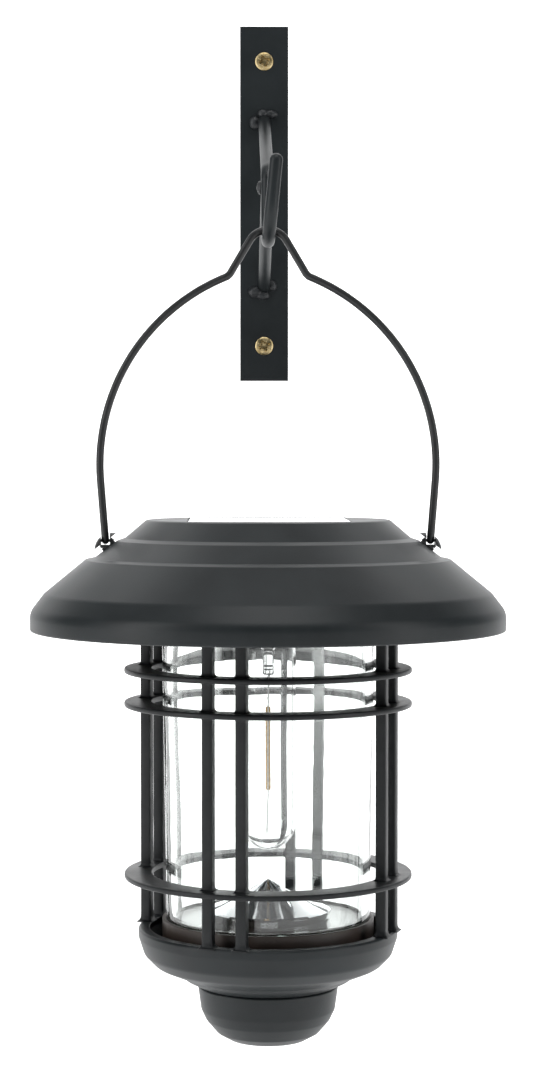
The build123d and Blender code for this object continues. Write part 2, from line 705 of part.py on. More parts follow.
with BuildPart() as glass_jar:
    with BuildSketch(SECTION):
        Polygon(
            *outline(
                (JAR_TOP_R, JAR_TOP),
                (JAR_BOTTOM_R, JAR_BOTTOM),
                (0, JAR_BOTTOM),
                (0, JAR_FLOOR),
                (JAR_BOTTOM_R - JAR_WALL, JAR_FLOOR),
                (JAR_TOP_R - JAR_WALL, JAR_TOP),
            ),
            align=None,
        )
    revolve(axis=AXIS)
    fillet(glass_jar.edges().sort_by(Axis.Z)[0], 1.5)
finish(glass_jar, "glass_jar")

with BuildPart() as reflector:
    with BuildSketch(level(REFLECTOR_RIM)):
        RegularPolygon(REFLECTOR_R, FACETS)
    extrude(amount=-(JAR_FLOOR - REFLECTOR_RIM))
    with BuildSketch(level(REFLECTOR_RIM)):
        RegularPolygon(REFLECTOR_R, FACETS)
    with BuildSketch(level(REFLECTOR_PEAK)):
        RegularPolygon(0.8, FACETS)
    loft()
finish(reflector, "reflector")

with BuildPart() as jar_collar:
    with BuildSketch(SECTION):
        Polygon(
            *outline(
                (COLLAR_R - 1.4, COLLAR_TOP),
                (COLLAR_R - 0.4, COLLAR_TOP),
                (COLLAR_R, COLLAR_TOP + 0.4),
                (COLLAR_R, COLLAR_END),
                (33.0, COLLAR_END),
                (33.0, JAR_BOTTOM + 2.0),
                (0, JAR_BOTTOM + 2.0),
                (0, JAR_BOTTOM),
                (COLLAR_R - 1.4, JAR_BOTTOM),
            ),
            align=None,
        )
    revolve(axis=AXIS)
finish(jar_collar, "jar_collar")

# ---- cage ----------------------------------------------------------------------------------------------

reach = math.sqrt(BAR_AT ** 2 - PAIR_OFFSET ** 2)
bar_spots = []
for quarter in range(4):
    turn = math.radians(PAIR_TURN + 90 * quarter)
    for across in (-PAIR_OFFSET, PAIR_OFFSET):
        x = reach * math.sin(turn) + across * math.cos(turn)
        y = -reach * math.cos(turn) + across * math.sin(turn)
        bar_spots.append(Location((x, y, 0), (0, 0, PAIR_TURN + 90 * quarter)))

bar_top = FLANGE_TOP + FLANGE_THICK
bars = []
for number, spot in enumerate(bar_spots, start=1):
    with BuildPart() as bar:
        with BuildSketch(level(bar_top)):
            with Locations(spot):
                RectangleRounded(BAR, BAR, 0.6)
        extrude(amount=-(BOWL_TOP - bar_top))
        # splayed feet where the bar meets the flange, the rings and the bowl
        for depth, reach_up, reach_down in (
            (bar_top, 0, FOOT_TALL),
            (BOWL_TOP, FOOT_TALL, 0),
            (RING_DEPTHS["upper_ring"], FOOT_TALL, FOOT_TALL),
            (RING_DEPTHS["middle_ring"], FOOT_TALL, FOOT_TALL),
            (RING_DEPTHS["lower_ring"], FOOT_TALL, FOOT_TALL),
        ):
            half = RING_THICK / 2 if reach_up and reach_down else 0
            if reach_up:
                with BuildSketch(level(depth - half)):
                    with Locations(spot):
                        RectangleRounded(FOOT, FOOT, 0.9)
                extrude(amount=reach_up, taper=FOOT_TAPER)
            if reach_down:
                with BuildSketch(level(depth + half)):
                    with Locations(spot):
                        RectangleRounded(FOOT, FOOT, 0.9)
                extrude(amount=-reach_down, taper=FOOT_TAPER)
    bars.append(bar)
    finish(bar, f"cage_bar_{number}")

with BuildPart() as cage_flange:
    with BuildSketch(level(FLANGE_TOP)):
        Circle(FLANGE_OUT)
        Circle(FLANGE_IN, mode=Mode.SUBTRACT)
        with PolarLocations(CAGE_SCREW_AT, 4, start_angle=CAGE_SCREW_TURN):
            Circle(1.25, mode=Mode.SUBTRACT)
    extrude(amount=-FLANGE_THICK)
    fillet(cage_flange.edges().group_by(Axis.Z)[0].sort_by(SortBy.RADIUS)[-1], 0.8)
finish(cage_flange, "cage_flange")

with BuildPart() as cage_screws:
    with BuildSketch(level(bar_top)):
        with PolarLocations(CAGE_SCREW_AT, 4, start_angle=CAGE_SCREW_TURN):
            Circle(2.3)
    extrude(amount=-1.4)
    fillet(cage_screws.faces().sort_by(Axis.Z)[0:4].edges(), 0.5)
    with BuildSketch(level(bar_top)):
        with PolarLocations(CAGE_SCREW_AT, 4, start_angle=CAGE_SCREW_TURN):
            Circle(1.2)
    extrude(amount=bar_top - BASE_TOP + 1.5)
    with BuildSketch(level(bar_top + 1.4)):
        with PolarLocations(CAGE_SCREW_AT, 4, start_angle=CAGE_SCREW_TURN):
            Rectangle(2.8, 0.6)
            Rectangle(0.6, 2.8)
    extrude(amount=0.7, mode=Mode.SUBTRACT)
finish(cage_screws, "cage_screws")

for name, depth in RING_DEPTHS.items():
    with BuildPart() as ring:
        with BuildSketch(level(depth - RING_THICK / 2)):
            Circle(RING_OUT)
            Circle(RING_IN, mode=Mode.SUBTRACT)
        extrude(amount=-RING_THICK)
        outer = ring.edges().filter_by(
            lambda e: e.geom_type == GeomType.CIRCLE and abs(e.radius - RING_OUT) < 0.01
        )
        fillet(outer, 0.6)
        with BuildSketch(level(depth - RING_THICK / 2)):
            with Locations(*bar_spots):
                RectangleRounded(BAR, BAR, 0.6)
        extrude(amount=-RING_THICK, mode=Mode.SUBTRACT)
    finish(ring, name)

# ---- base bowl and finial --------------------------------------------------------------------------------

with BuildPart() as base_bowl:
    with BuildSketch(SECTION):
        Polygon(
            *outline(
                (44.6, BOWL_TOP),
                (48.6, BOWL_TOP),
                (49.1, 154.6),
                (49.1, 157.5),
                (47.0, 163.9),
                (43.0, 168.0),
                (34.0, 171.8),
                (31.5, 173.6),
                (26.7, BOWL_END),
                (SPIGOT_R, BOWL_END),
                (SPIGOT_R, SPIGOT_END),
                (SPIGOT_R - 2.2, SPIGOT_END),
                (SPIGOT_R - 2.2, 172.8),
                (26.0, 172.8),
                (34.0, 169.0),
                (34.0, COLLAR_END),
                (38.0, COLLAR_END),
                (38.0, 167.3),
                (41.2, 165.9),
                (44.6, 162.6),
                (46.2, 157.0),
            ),
            align=None,
        )
    revolve(axis=AXIS)
    for radius, blend in ((49.1, 2.0), (47.0, 3.0), (43.0, 3.0)):
        near = base_bowl.edges().filter_by(
            lambda e: e.geom_type == GeomType.CIRCLE and abs(e.radius - radius) < 0.02
        )
        fillet(near.sort_by(Axis.Z)[0], blend)
    with BuildSketch(level(172.8)):
        Circle(SPIGOT_R - 2.2)
    extrude(amount=-(BOWL_END - 172.8))
    with BuildSketch(level(LUG_TOP)):
        with PolarLocations(SPIGOT_R + 0.6, 2):
            Rectangle(3.2, 5.0)
    extrude(amount=-LUG_TALL)
finish(base_bowl, "base_bowl")

with BuildPart() as finial_cup:
    with BuildSketch(SECTION):
        Polygon(
            *outline(
                (SPIGOT_R + 0.3, BOWL_END + 0.3),
                (26.2, BOWL_END + 0.3),
                (26.6, BOWL_END + 0.8),
                (25.4, 185.4),
                (23.5, 189.4),
                (19.4, 194.2),
                (14.8, 196.8),
                (8.0, FINIAL_END),
                (0, FINIAL_END),
                (0, 194.5),
                (12.5, 193.2),
                (17.0, 188.5),
                (17.0, SPIGOT_END + 1),
                (SPIGOT_R + 0.3, SPIGOT_END + 1),
            ),
            align=None,
        )
    revolve(axis=AXIS)
    # L-shaped slots for the bowl's two lugs, each one turn-range long
    for lug in (0, 180):
        start = math.radians(lug - 68)
        slot_plane = Plane(
            (0, -STANDOFF, CAP_TOP - LUG_TOP - LUG_TALL / 2),
            x_dir=(math.cos(start), math.sin(start), 0),
            z_dir=(math.sin(start), -math.cos(start), 0),
        )
        with BuildSketch(slot_plane):
            with Locations((SPIGOT_R + 1.3, 0)):
                Rectangle(2.6, LUG_TALL + 0.6)
        revolve(axis=AXIS, revolution_arc=76, mode=Mode.SUBTRACT)
    with BuildSketch(level(BOWL_END + 0.3)):
        with PolarLocations(SPIGOT_R + 0.6, 2, start_angle=-60):
            Rectangle(4.0, 5.8)
    extrude(amount=-(LUG_TOP + LUG_TALL + 0.3 - BOWL_END - 0.3), mode=Mode.SUBTRACT)
finish(finial_cup, "finial_cup")
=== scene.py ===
import math
import random

import bpy
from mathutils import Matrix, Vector, noise


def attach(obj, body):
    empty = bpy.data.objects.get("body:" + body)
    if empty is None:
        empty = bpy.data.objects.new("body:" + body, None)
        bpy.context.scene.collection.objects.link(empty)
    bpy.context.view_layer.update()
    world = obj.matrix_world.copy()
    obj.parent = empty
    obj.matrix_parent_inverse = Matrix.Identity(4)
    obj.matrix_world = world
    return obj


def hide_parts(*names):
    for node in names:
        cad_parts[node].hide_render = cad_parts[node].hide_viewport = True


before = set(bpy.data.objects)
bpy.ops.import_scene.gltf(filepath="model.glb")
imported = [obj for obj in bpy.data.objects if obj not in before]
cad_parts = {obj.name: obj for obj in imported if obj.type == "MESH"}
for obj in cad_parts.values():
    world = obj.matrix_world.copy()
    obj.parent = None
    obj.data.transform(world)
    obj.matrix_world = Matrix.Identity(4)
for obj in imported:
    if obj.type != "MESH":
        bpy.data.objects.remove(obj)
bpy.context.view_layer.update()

# Looks for the hanging solar lantern. Pieces are drawn in millimetres and depths below the
# cap's top, as in the CAD, and turned into metres as their meshes are made.

MM = 0.001
STANDOFF = 100.0
CAP_TOP = -128.9
SEGMENTS = 144
random.seed(7)


# ---------------------------------------------------------------- mesh helpers

def piece(name, verts, faces, material, body, slot, nodes=(), smooth_angle=32.0):
    """A mesh object in metres that rides on a body and stands for CAD nodes."""
    mesh = bpy.data.meshes.new(name)
    mesh.from_pydata([(x * MM, y * MM, z * MM) for x, y, z in verts], [], faces)
    mesh.validate()
    mesh.update()
    for poly in mesh.polygons:
        poly.use_smooth = True
    mesh.set_sharp_from_angle(angle=math.radians(smooth_angle))
    mesh.materials.append(material)
    obj = bpy.data.objects.new(name, mesh)
    bpy.context.scene.collection.objects.link(obj)
    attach(obj, body)
    if nodes:
        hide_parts(*nodes)
    return obj


def rounded(corners, steps=5):
    """Points of a polyline given as (a, b) or (a, b, blend): each blend becomes an arc."""
    points = []
    for index, corner in enumerate(corners):
        here = Vector(corner[:2])
        if len(corner) == 2 or corner[2] == 0 or index in (0, len(corners) - 1):
            points.append(tuple(here))
            continue
        before = (Vector(corners[index - 1][:2]) - here)
        after = (Vector(corners[index + 1][:2]) - here)
        angle = before.angle(after)
        reach = min(corner[2] / math.tan(angle / 2), before.length * 0.49, after.length * 0.49)
        start = here + before.normalized() * reach
        end = here + after.normalized() * reach
        for step in range(steps + 1):
            t = step / steps
            point = start * (1 - t) ** 2 + here * 2 * t * (1 - t) + end * t ** 2
            points.append(tuple(point))
    return points


def lathe(rings, count=SEGMENTS, closed=False, centre=(0.0, -STANDOFF), turn=0.0):
    """Vertices and faces of rings about a vertical axis. A ring is (radius or function of angle, depth)."""
    verts, faces, rows = [], [], []
    for radius, depth in rings:
        z = CAP_TOP - depth
        if not callable(radius) and abs(radius) < 1e-6:
            rows.append([len(verts)])
            verts.append((centre[0], centre[1], z))
            continue
        row = []
        for k in range(count):
            angle = turn + 2 * math.pi * k / count
            r = radius(angle) if callable(radius) else radius
            row.append(len(verts))
            verts.append((centre[0] + r * math.cos(angle), centre[1] + r * math.sin(angle), z))
        rows.append(row)
    pairs = list(zip(rows, rows[1:]))
    if closed:
        pairs.append((rows[-1], rows[0]))
    for upper, lower in pairs:
        for k in range(count):
            n = (k + 1) % count
            if len(upper) == 1 and len(lower) == 1:
                continue
            if len(upper) == 1:
                faces.append((upper[0], lower[k], lower[n]))
            elif len(lower) == 1:
                faces.append((upper[k], lower[0], upper[n]))
            else:
                faces.append((upper[k], lower[k], lower[n], upper[n]))
    return verts, faces


def merge(*parts):
    """Joins several (vertices, faces) into one."""
    verts, faces = [], []
    for more_verts, more_faces in parts:
        start = len(verts)
        verts.extend(more_verts)
        faces.extend(tuple(start + i for i in face) for face in more_faces)
    return verts, faces


def tube(path, radius, sides=20, round_ends=(False, False), wobble=0.0):
    """A round rod along points in millimetres, closed at both ends."""
    points = [Vector(p) for p in path]
    verts, faces = [], []
    tangents = []
    for k in range(len(points)):
        a = points[max(0, k - 1)]
        b = points[min(len(points) - 1, k + 1)]
        tangents.append((b - a).normalized())
    side = tangents[0].orthogonal().normalized()
    rows = []

    def ring(centre, tangent, side, r, seed):
        up = tangent.cross(side).normalized()
        row = []
        for k in range(sides):
            a = 2 * math.pi * k / sides
            lift = 1 + wobble * noise.noise(Vector((seed * 0.9, math.cos(a), math.sin(a))))
            row.append(len(verts))
            verts.append(tuple(centre + (side * math.cos(a) + up * math.sin(a)) * r * lift))
        rows.append(row)

    if round_ends[0]:
        for k in range(1, 6):
            a = math.pi / 2 * k / 6
            ring(points[0] - tangents[0] * radius * math.cos(a), tangents[0], side, radius * math.sin(a), 0)
    for k, (point, tangent) in enumerate(zip(points, tangents)):
        side = (side - tangent * side.dot(tangent)).normalized()
        ring(point, tangent, side, radius, k)
    if round_ends[1]:
        for k in range(5, 0, -1):
            a = math.pi / 2 * k / 6
            ring(points[-1] + tangents[-1] * radius * math.cos(a), tangents[-1], side,
                radius * math.sin(a), 0)
    for lower, upper in zip(rows, rows[1:]):
        for k in range(sides):
            n = (k + 1) % sides
            faces.append((lower[k], lower[n], upper[n], upper[k]))
    faces.append(tuple(reversed(rows[0])))
    faces.append(tuple(rows[-1]))
    return verts, faces


def arc_points(centre, radius, start, end, steps):
    """Points on an arc in the (x, z) plane, angles in degrees from +X towards +Z."""
    out = []
    for k in range(steps + 1):
        a = math.radians(start + (end - start) * k / steps)
        out.append((centre[0] + radius * math.cos(a), centre[1] + radius * math.sin(a)))
    return out


# ---------------------------------------------------------------- materials

def finish(
    name,
    base,
    rough=0.45,
    metallic=0.0,
    mottle=0.12,
    mottle_scale=60.0,
    grain_scale=1800.0,
    grain_bump=0.12,
    grain_distance=0.00004,
    rough_spread=0.08,
    specular=0.5,
    coat=0.0,
    tint=None,
):
    """A procedural finish: mottled colour, grain in the bump, and roughness that varies."""
    mat = bpy.data.materials.new(name)
    mat.use_nodes = True
    nodes, links = mat.node_tree.nodes, mat.node_tree.links
    shader = nodes["Principled BSDF"]
    place = nodes.new("ShaderNodeTexCoord")
    broad = nodes.new("ShaderNodeTexNoise")
    broad.inputs["Scale"].default_value = mottle_scale
    broad.inputs["Detail"].default_value = 5.0
    links.new(place.outputs["Object"], broad.inputs["Vector"])
    ramp = nodes.new("ShaderNodeValToRGB")
    dark = [c * (1 - mottle) for c in base]
    light = [min(1.0, c * (1 + mottle)) for c in (tint or base)]
    ramp.color_ramp.elements[0].position = 0.3
    ramp.color_ramp.elements[0].color = (*dark, 1)
    ramp.color_ramp.elements[1].position = 0.7
    ramp.color_ramp.elements[1].color = (*light, 1)
    links.new(broad.outputs["Fac"], ramp.inputs["Fac"])
    links.new(ramp.outputs["Color"], shader.inputs["Base Color"])
    fine = nodes.new("ShaderNodeTexNoise")
    fine.inputs["Scale"].default_value = grain_scale
    fine.inputs["Detail"].default_value = 3.0
    links.new(place.outputs["Object"], fine.inputs["Vector"])
    bump = nodes.new("ShaderNodeBump")
    bump.inputs["Strength"].default_value = grain_bump
    bump.inputs["Distance"].default_value = grain_distance
    links.new(fine.outputs["Fac"], bump.inputs["Height"])
    links.new(bump.outputs["Normal"], shader.inputs["Normal"])
    spread = nodes.new("ShaderNodeMapRange")
    spread.inputs["To Min"].default_value = max(0.02, rough - rough_spread)
    spread.inputs["To Max"].default_value = min(1.0, rough + rough_spread)
    links.new(broad.outputs["Fac"], spread.inputs["Value"])
    links.new(spread.outputs["Result"], shader.inputs["Roughness"])
    shader.inputs["Metallic"].default_value = metallic
    shader.inputs["Specular IOR Level"].default_value = specular
    shader.inputs["Coat Weight"].default_value = coat
    return mat


def clear_glass(name, colour, density, absorb, wave_scale, wave_bump, ior=1.5, lamps=0.9):
    """Clear glass: faint ripples in the surface, an even tint inside, and light let through."""
    mat = bpy.data.materials.new(name)
    mat.use_nodes = True
    nodes, links = mat.node_tree.nodes, mat.node_tree.links
    shader = nodes["Principled BSDF"]
    shader.inputs["Base Color"].default_value = (*colour, 1)
    shader.inputs["Transmission Weight"].default_value = 1.0
    shader.inputs["Roughness"].default_value = 0.01
    shader.inputs["IOR"].default_value = ior
    place = nodes.new("ShaderNodeTexCoord")
    ripple = nodes.new("ShaderNodeTexNoise")
    ripple.inputs["Scale"].default_value = wave_scale
    ripple.inputs["Detail"].default_value = 2.0
    links.new(place.outputs["Object"], ripple.inputs["Vector"])
    bump = nodes.new("ShaderNodeBump")
    bump.inputs["Strength"].default_value = wave_bump
    bump.inputs["Distance"].default_value = 0.0004
    links.new(ripple.outputs["Fac"], bump.inputs["Height"])
    links.new(bump.outputs["Normal"], shader.inputs["Normal"])
    passing = nodes.new("ShaderNodeBsdfTransparent")
    passing.inputs["Color"].default_value = (lamps, lamps, lamps, 1)
    rays = nodes.new("ShaderNodeLightPath")
    mix = nodes.new("ShaderNodeMixShader")
    links.new(rays.outputs["Is Shadow Ray"], mix.inputs["Fac"])
    links.new(shader.outputs["BSDF"], mix.inputs[1])
    links.new(passing.outputs["BSDF"], mix.inputs[2])
    out = nodes["Material Output"]
    links.new(mix.outputs["Shader"], out.inputs["Surface"])
    if density:
        inside = nodes.new("ShaderNodeVolumeAbsorption")
        inside.inputs["Color"].default_value = (*absorb, 1)
        inside.inputs["Density"].default_value = density
        links.new(inside.outputs["Volume"], out.inputs["Volume"])
    return mat


POWDER = finish("powder_coat", (0.0105, 0.0135, 0.0148), rough=0.42, specular=0.33, mottle=0.16,
    mottle_scale=45,
                grain_scale=1500, grain_bump=0.35, grain_distance=0.00006, rough_spread=0.06,
                tint=(0.013, 0.0165, 0.018))
COARSE = finish("powder_coat_cage", (0.0075, 0.009, 0.0098), rough=0.42, specular=0.33, mottle=0.22,
    mottle_scale=120,
                grain_scale=1300, grain_bump=0.55, grain_distance=0.00009, rough_spread=0.09,
                tint=(0.011, 0.0125, 0.0135))
WIRE = finish("bail_lacquer", (0.016, 0.0165, 0.017), rough=0.34, mottle=0.2, mottle_scale=160,
              grain_scale=1600, grain_bump=0.35, grain_distance=0.00006)
WELD = finish("weld_scale", (0.016, 0.018, 0.02), rough=0.45, mottle=0.35, mottle_scale=500,
              grain_scale=1100, grain_bump=0.8, grain_distance=0.00018, rough_spread=0.14)
PLASTIC = finish("moulded_plastic", (0.018, 0.018, 0.019), rough=0.5, mottle=0.14, mottle_scale=90,
                 grain_scale=2200, grain_bump=0.25, grain_distance=0.00004)
COLLAR = finish("collar_plastic", (0.047, 0.034, 0.028), rough=0.46, mottle=0.16, mottle_scale=70,
                grain_scale=1900, grain_bump=0.25, grain_distance=0.00005, tint=(0.054, 0.038, 0.03))
RUBBER = finish("gasket_rubber", (0.012, 0.012, 0.012), rough=0.75, mottle=0.3, mottle_scale=140,
                grain_scale=1500, grain_bump=0.4, grain_distance=0.00006)
BRASS = finish("screw_brass", (0.42, 0.31, 0.14), rough=0.34, metallic=1.0, mottle=0.3, mottle_scale=420,
               grain_scale=2600, grain_bump=0.3, grain_distance=0.00005, rough_spread=0.12,
               tint=(0.5, 0.4, 0.22))
STEEL = finish("plain_steel", (0.5, 0.5, 0.49), rough=0.32, metallic=1.0, mottle=0.12, mottle_scale=300,
               grain_scale=3000, grain_bump=0.2, grain_distance=0.00003)
SPUN = finish("spun_cap", (0.72, 0.72, 0.71), rough=0.3, metallic=1.0, mottle=0.08, mottle_scale=200,
              grain_scale=2600, grain_bump=0.2, grain_distance=0.00003)
MIRROR = finish("mirror_chrome", (0.86, 0.87, 0.88), rough=0.07, metallic=1.0, mottle=0.03,
                mottle_scale=150, grain_scale=260, grain_bump=0.05, grain_distance=0.0001,
                rough_spread=0.03)
BOARD = finish("board_mask", (0.012, 0.12, 0.05), rough=0.35, mottle=0.2, mottle_scale=300)
SLEEVE = finish("lead_sleeve", (0.4, 0.02, 0.02), rough=0.5, mottle=0.12, mottle_scale=250)
CELL_WRAP = finish("battery_wrap", (0.06, 0.22, 0.08), rough=0.28, mottle=0.1, mottle_scale=120)
PHOSPHOR = finish("amber_phosphor", (0.72, 0.4, 0.1), rough=0.55, mottle=0.22, mottle_scale=900,
                  grain_scale=2500, grain_bump=0.3, tint=(0.8, 0.5, 0.16))
JAR_GLASS = clear_glass("jar_clear", (0.985, 0.995, 0.99), 9.0, (0.55, 0.86, 0.72), 55, 0.18)
BULB_GLASS = clear_glass("bulb_clear", (0.985, 0.985, 0.985), 0.0, (1, 1, 1), 90, 0.1)
COVER_GLASS = clear_glass("panel_cover", (0.97, 0.985, 0.99), 0.0, (1, 1, 1), 400, 0.08)


def solar_material():
    """Deep blue cells crossed by fine silver fingers and wider bus bars."""
    mat = finish("solar_cells", (0.01, 0.014, 0.045), rough=0.3, mottle=0.45, mottle_scale=260,
                 grain_bump=0.05, tint=(0.016, 0.022, 0.07))
    nodes, links = mat.node_tree.nodes, mat.node_tree.links
    shader = nodes["Principled BSDF"]
    source = shader.inputs["Base Color"].links[0].from_socket
    place = nodes.new("ShaderNodeTexCoord")
    split = nodes.new("ShaderNodeSeparateXYZ")
    links.new(place.outputs["Object"], split.inputs["Vector"])

    def stripes(axis, pitch, width, shift=0.0):
        moved = nodes.new("ShaderNodeMath")
        moved.operation = "ADD"
        moved.inputs[1].default_value = shift + 10 * pitch
        links.new(split.outputs[axis], moved.inputs[0])
        wrapped = nodes.new("ShaderNodeMath")
        wrapped.operation = "MODULO"
        wrapped.inputs[1].default_value = pitch
        links.new(moved.outputs[0], wrapped.inputs[0])
        below = nodes.new("ShaderNodeMath")
        below.operation = "LESS_THAN"
        below.inputs[1].default_value = width
        links.new(wrapped.outputs[0], below.inputs[0])
        return below.outputs[0]

    fingers = stripes("Y", 0.0016, 0.00016, 0.1)
    bars = stripes("X", 0.0142, 0.0007, 0.00035 + 0.0071)
    both = nodes.new("ShaderNodeMath")
    both.operation = "MAXIMUM"
    links.new(fingers, both.inputs[0])
    links.new(bars, both.inputs[1])
    mix = nodes.new("ShaderNodeMixRGB")
    mix.inputs["Color2"].default_value = (0.42, 0.43, 0.45, 1)
    links.new(both.outputs[0], mix.inputs["Fac"])
    links.new(source, mix.inputs["Color1"])
    links.new(mix.outputs["Color"], shader.inputs["Base Color"])
    return mat


SOLAR = solar_material()

# every CAD node that stays in view gets its finish
CAD_FINISH = {
    POWDER: ["wall_plate"],
    PLASTIC: ["bail_post_left", "bail_post_right", "base_plate", "battery_door", "battery_holder",
              "switch_body", "switch_slider", "lamp_socket", "panel_backing", "board_components"],
    WIRE: ["bail_pins"],
    STEEL: ["base_plate_screws", "battery_door_screw", "battery_contact",
            "battery_spring", "cage_screws"],
    SPUN: ["bulb_base"],
    SOLAR: ["solar_cells"],
    COVER_GLASS: ["panel_glass"],
    CELL_WRAP: ["battery_cell"],
    BOARD: ["circuit_board"],
    SLEEVE: ["panel_leads", "lamp_leads", "battery_leads", "switch_leads"],
    RUBBER: ["jar_gasket"],
}


def soften_group():
    """Geometry nodes that weld split vertices and shade a CAD mesh smooth below an angle."""
    group = bpy.data.node_groups.new("soften", "GeometryNodeTree")
    group.interface.new_socket("Geometry", in_out="INPUT", socket_type="NodeSocketGeometry")
    group.interface.new_socket("Geometry", in_out="OUTPUT", socket_type="NodeSocketGeometry")
    nodes, links = group.nodes, group.links
    start = nodes.new("NodeGroupInput")
    end = nodes.new("NodeGroupOutput")
    weld = nodes.new("GeometryNodeMergeByDistance")
    weld.inputs["Distance"].default_value = 0.000002
    smooth = nodes.new("GeometryNodeSetShadeSmooth")
    smooth.domain = "FACE"
    angle = nodes.new("GeometryNodeInputMeshEdgeAngle")
    steep = nodes.new("FunctionNodeCompare")
    steep.data_type = "FLOAT"
    steep.operation = "GREATER_THAN"
    steep.inputs[1].default_value = math.radians(30)
    sharp = nodes.new("GeometryNodeSetShadeSmooth")
    sharp.domain = "EDGE"
    sharp.inputs["Shade Smooth"].default_value = False
    links.new(start.outputs[0], weld.inputs["Geometry"])
    links.new(weld.outputs["Geometry"], smooth.inputs["Geometry"])
    links.new(angle.outputs["Unsigned Angle"], steep.inputs[0])
    links.new(smooth.outputs["Geometry"], sharp.inputs["Geometry"])
    links.new(steep.outputs["Result"], sharp.inputs["Selection"])
    links.new(sharp.outputs["Geometry"], end.inputs[0])
    return group


SOFTEN = soften_group()
for material, names in CAD_FINISH.items():
    for name in names:
        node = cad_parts[name]
        if not node.material_slots:
            node.data.materials.append(material)
        for entry in node.material_slots:
            entry.material = material
        modifier = node.modifiers.new("soften", "NODES")
        modifier.node_group = SOFTEN

# ---------------------------------------------------------------- bracket

ROD_R = 2.5
HOOK_R, HOOK_LEAN, HOOK_BACK, HOOK_TIP = 13.0, math.radians(5.5), 12.0, 16.0
HOOK_Z = -11.15
BRACE_HALF, BRACE_CORNER, BRACE_BEND = 35.0, 92.4, 6.0

# brace: straight leg, bend, straight leg, in the plane x = 0
leg = Vector((-1.5 + BRACE_CORNER, BRACE_HALF))
half_angle = math.atan2(leg.y, leg.x)
reach = BRACE_BEND / math.tan(half_angle)
bend_centre = -BRACE_CORNER + BRACE_BEND / math.sin(half_angle)
brace = [(0, -1.5, BRACE_HALF)]
start_angle = 90 + math.degrees(half_angle)
for k in range(13):
    a = math.radians(start_angle + (360 - 2 * start_angle) * k / 12)
    brace.append((0, bend_centre + BRACE_BEND * math.cos(a), BRACE_BEND * math.sin(a)))
brace.append((0, -1.5, -BRACE_HALF))
piece("brace_bar", *tube(brace, ROD_R, 28), POWDER, "bracket", "powder_black", ["brace_rod"], 50)

# hook: an upright back leg, then a front half that leans a little to the right
up = Vector((math.sin(HOOK_LEAN), 0, math.cos(HOOK_LEAN)))
low = Vector((0, -STANDOFF, HOOK_Z - HOOK_R))
hook = [Vector((0, HOOK_R - STANDOFF, HOOK_Z + HOOK_BACK * t)) for t in (1.0, 0.5, 0.1)]
for k in range(15):
    a = math.pi / 2 * k / 14
    hook.append(Vector((0, -STANDOFF + HOOK_R * math.cos(a), HOOK_Z - HOOK_R * math.sin(a))))
middle = low + up * HOOK_R
for k in range(1, 15):
    a = math.pi / 2 * k / 14
    hook.append(middle - up * (HOOK_R * math.cos(a)) - Vector((0, HOOK_R * math.sin(a), 0)))
hook += [hook[-1] + up * (HOOK_TIP * k / 4) for k in range(1, 5)]
piece("hook_bar", *tube(hook, ROD_R, 28, (False, True), 0.015), POWDER, "bracket", "powder_black",
    ["hook_rod"], 50)


def bead(centre, size, stretch, seed):
    """A lump of weld with a scaly, uneven skin."""
    rings, sides = 14, 22
    verts, faces = [], []
    for i in range(rings + 1):
        lat = math.pi * i / rings
        for k in range(sides):
            lon = 2 * math.pi * k / sides
            d = Vector((math.sin(lat) * math.cos(lon), math.sin(lat) * math.sin(lon), math.cos(lat)))
            lump = 1 + 0.14 * noise.noise(d * 1.7 + Vector((seed, 0,
                0))) + 0.07 * noise.noise(d * 5 + Vector((0, seed, 0)))
            v = Vector((d.x * stretch[0], d.y * stretch[1], d.z * stretch[2])) * size * lump
            verts.append(tuple(Vector(centre) + v))
    for i in range(rings):
        for k in range(sides):
            n = (k + 1) % sides
            faces.append((i * sides + k, (i + 1) * sides + k, (i + 1) * sides + n, i * sides + n))
    return verts, faces


weld_spots = [
    ((-3.9, -3.4, 33.6), 2.3, (1.0, 0.8, 1.15), 1.0),
    ((2.6, -3.4, 37.2), 2.3, (1.3, 0.8, 0.7), 2.3),
    ((-0.6, -3.4, 37.4), 2.2, (1.0, 0.7, 0.75), 3.1),
    ((-3.6, -3.4, -36.6), 2.7, (1.15, 0.8, 0.85), 4.7),
    ((3.4, -3.4, -34.0), 2.2, (0.85, 0.8, 1.0), 5.9),
    ((-0.6, -3.4, -38.0), 2.4, (1.2, 0.7, 0.75), 6.4),
    ((-2.6, -84.7, -2.4), 2.1, (0.75, 0.9, 1.2), 7.7),
    ((1.9, -85.6, 3.0), 2.2, (0.9, 0.9, 1.2), 8.2),
]
piece("weld_lumps", *merge(*[bead(*spot) for spot in weld_spots]), WELD, "bracket", "powder_black",
      ["weld_beads"], 60)


